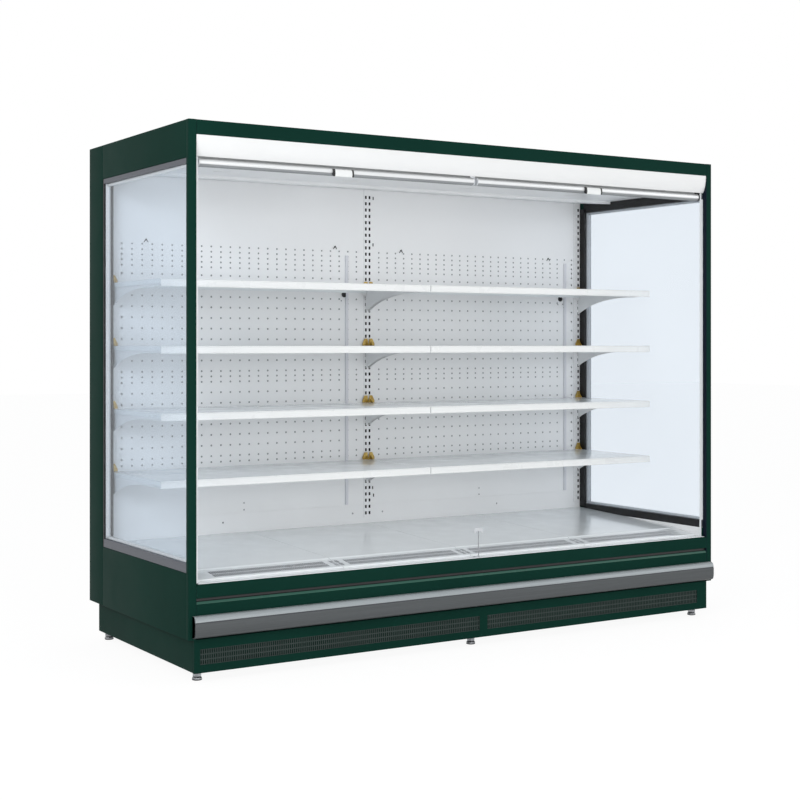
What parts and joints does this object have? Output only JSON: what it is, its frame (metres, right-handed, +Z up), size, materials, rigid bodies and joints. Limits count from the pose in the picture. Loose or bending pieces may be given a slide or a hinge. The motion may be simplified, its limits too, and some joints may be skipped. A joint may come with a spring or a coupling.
{
  "type": "open multideck display fridge",
  "caption": "Free-standing open-front multideck fridge with glazed ends, hooked shelves on slotted uprights, night curtains, bumper and levelling feet.",
  "frame": {"origin": "on the floor, in the middle of the overall box", "axes": "+X along the cabinet to the shopper's right, +Y from the open front to the back, +Z up"},
  "size_m": [2.58, 1.044, 2.055],
  "materials": {
    "green_paint": "satin dark green powder coat",
    "carcass_panel": "foam-filled panel, green outside",
    "white_paint": "satin white powder coat",
    "grille_dark": "matt black-green",
    "zinc_steel": "zinc plated",
    "rail_grey": "dark grey rail and gasket",
    "end_glass": "clear double glazing",
    "bumper_grey": "grey satin plastic",
    "aluminium": "satin anodised",
    "lamp_white": "opal cover",
    "curtain_fabric": "woven night curtain"
  },
  "bodies": {
    "cabinet": {"back_panel_left": "white_paint", "back_panel_right": "white_paint", "base_frame": "green_paint", "bumper_rail": "bumper_grey", "canopy_liner": "white_paint", "catch_post": "white_paint", "ceiling_panel": "white_paint", "corner_post_left": "green_paint", "corner_post_right": "green_paint", "curtain_strip_left": "curtain_fabric", "curtain_strip_right": "curtain_fabric", "deck_pan_1": "white_paint", "deck_pan_2": "white_paint", "deck_pan_3": "white_paint", "deck_pan_4": "white_paint", "evaporator_coil": "aluminium", "fan_tray": "zinc_steel", "front_panel": "green_paint", "glass_frame_left": "rail_grey", "glass_frame_right": "rail_grey", "header_fascia": "green_paint", "header_side_panel_left": "carcass_panel", "header_side_panel_right": "carcass_panel", "insulated_carcass": "carcass_panel", "kick_grille_left": "grille_dark", "kick_grille_right": "grille_dark", "kick_plate": "green_paint", "light_bar": "lamp_white", "lower_back_panel": "white_paint", "lower_side_panel_left": "carcass_panel", "lower_side_panel_right": "carcass_panel", "outlet_honeycomb": "aluminium", "rear_side_panel_left": "carcass_panel", "rear_side_panel_right": "carcass_panel", "side_glass_left": "end_glass", "side_glass_right": "end_glass", "sill_cap": "white_paint", "upright_left": "white_paint", "upright_middle": "white_paint", "upright_right": "white_paint"},
    "shelf_left_1": {"shelf_left_1": "white_paint"},
    "shelf_left_2": {"shelf_left_2": "white_paint"},
    "shelf_left_3": {"shelf_left_3": "white_paint"},
    "shelf_left_4": {"shelf_left_4": "white_paint"},
    "shelf_right_1": {"shelf_right_1": "white_paint"},
    "shelf_right_2": {"shelf_right_2": "white_paint"},
    "shelf_right_3": {"shelf_right_3": "white_paint"},
    "shelf_right_4": {"shelf_right_4": "white_paint"},
    "curtain_bar_left": {"curtain_bar_left": "aluminium"},
    "curtain_roller_left": {"curtain_roller_left": "curtain_fabric"},
    "curtain_bar_right": {"curtain_bar_right": "aluminium"},
    "curtain_roller_right": {"curtain_roller_right": "curtain_fabric"},
    "fan_rotor_left": {"fan_rotor_left": "grille_dark"},
    "fan_rotor_right": {"fan_rotor_right": "grille_dark"},
    "leveling_foot_front_left": {"leveling_foot_front_left": "zinc_steel"},
    "leveling_foot_front_middle": {"leveling_foot_front_middle": "zinc_steel"},
    "leveling_foot_front_right": {"leveling_foot_front_right": "zinc_steel"},
    "leveling_foot_rear_left": {"leveling_foot_rear_left": "zinc_steel"},
    "leveling_foot_rear_middle": {"leveling_foot_rear_middle": "zinc_steel"},
    "leveling_foot_rear_right": {"leveling_foot_rear_right": "zinc_steel"}
  },
  "joints": [
    {"name": "shelf_left_1_lift", "type": "hinge", "parent": "cabinet", "child": "shelf_left_1", "pos_m": [0, 0.401, 1.4983], "axis": [-1, 0, 0], "range_deg": [0, 10]},
    {"name": "shelf_left_2_lift", "type": "hinge", "parent": "cabinet", "child": "shelf_left_2", "pos_m": [0, 0.401, 1.2373], "axis": [-1, 0, 0], "range_deg": [0, 10]},
    {"name": "shelf_left_3_lift", "type": "hinge", "parent": "cabinet", "child": "shelf_left_3", "pos_m": [0, 0.401, 0.9763], "axis": [-1, 0, 0], "range_deg": [0, 10]},
    {"name": "shelf_left_4_lift", "type": "hinge", "parent": "cabinet", "child": "shelf_left_4", "pos_m": [0, 0.401, 0.7153], "axis": [-1, 0, 0], "range_deg": [0, 10]},
    {"name": "shelf_right_1_lift", "type": "hinge", "parent": "cabinet", "child": "shelf_right_1", "pos_m": [0, 0.401, 1.4983], "axis": [-1, 0, 0], "range_deg": [0, 10]},
    {"name": "shelf_right_2_lift", "type": "hinge", "parent": "cabinet", "child": "shelf_right_2", "pos_m": [0, 0.401, 1.2373], "axis": [-1, 0, 0], "range_deg": [0, 10]},
    {"name": "shelf_right_3_lift", "type": "hinge", "parent": "cabinet", "child": "shelf_right_3", "pos_m": [0, 0.401, 0.9763], "axis": [-1, 0, 0], "range_deg": [0, 10]},
    {"name": "shelf_right_4_lift", "type": "hinge", "parent": "cabinet", "child": "shelf_right_4", "pos_m": [0, 0.401, 0.7153], "axis": [-1, 0, 0], "range_deg": [0, 10]},
    {"name": "curtain_left_pull", "type": "slide", "parent": "cabinet", "child": "curtain_bar_left", "axis": [0, 0, -1], "range_m": [0, 1.424], "stiffness_N_per_m": 4, "springref_m": -3.5, "deforming": ["curtain_strip_left"]},
    {"name": "curtain_left_roll", "type": "hinge", "parent": "cabinet", "child": "curtain_roller_left", "pos_m": [0, -0.4219, 1.968], "axis": [1, 0, 0], "range_deg": [0, 4540]},
    {"name": "curtain_right_pull", "type": "slide", "parent": "cabinet", "child": "curtain_bar_right", "axis": [0, 0, -1], "range_m": [0, 1.424], "stiffness_N_per_m": 4, "springref_m": -3.5, "deforming": ["curtain_strip_right"]},
    {"name": "curtain_right_roll", "type": "hinge", "parent": "cabinet", "child": "curtain_roller_right", "pos_m": [0, -0.4219, 1.968], "axis": [1, 0, 0], "range_deg": [0, 4540]},
    {"name": "fan_left_spin", "type": "hinge", "parent": "cabinet", "child": "fan_rotor_left", "pos_m": [-0.625, -0.08, 0.292], "axis": [0, 1, 0], "continuous": true},
    {"name": "fan_right_spin", "type": "hinge", "parent": "cabinet", "child": "fan_rotor_right", "pos_m": [0.625, -0.08, 0.292], "axis": [0, 1, 0], "continuous": true},
    {"name": "foot_front_left_height", "type": "slide", "parent": "cabinet", "child": "leveling_foot_front_left", "axis": [0, 0, -1], "range_m": [-0.006, 0.012]},
    {"name": "foot_front_middle_height", "type": "slide", "parent": "cabinet", "child": "leveling_foot_front_middle", "axis": [0, 0, -1], "range_m": [-0.006, 0.012]},
    {"name": "foot_front_right_height", "type": "slide", "parent": "cabinet", "child": "leveling_foot_front_right", "axis": [0, 0, -1], "range_m": [-0.006, 0.012]},
    {"name": "foot_rear_left_height", "type": "slide", "parent": "cabinet", "child": "leveling_foot_rear_left", "axis": [0, 0, -1], "range_m": [-0.006, 0.012]},
    {"name": "foot_rear_middle_height", "type": "slide", "parent": "cabinet", "child": "leveling_foot_rear_middle", "axis": [0, 0, -1], "range_m": [-0.006, 0.012]},
    {"name": "foot_rear_right_height", "type": "slide", "parent": "cabinet", "child": "leveling_foot_rear_right", "axis": [0, 0, -1], "range_m": [-0.006, 0.012]}
  ],
  "couplings": [
    {"joint": "curtain_left_roll", "follows": "curtain_left_pull", "rad_per_m": 55.556},
    {"joint": "curtain_right_roll", "follows": "curtain_right_pull", "rad_per_m": 55.556}
  ]
}
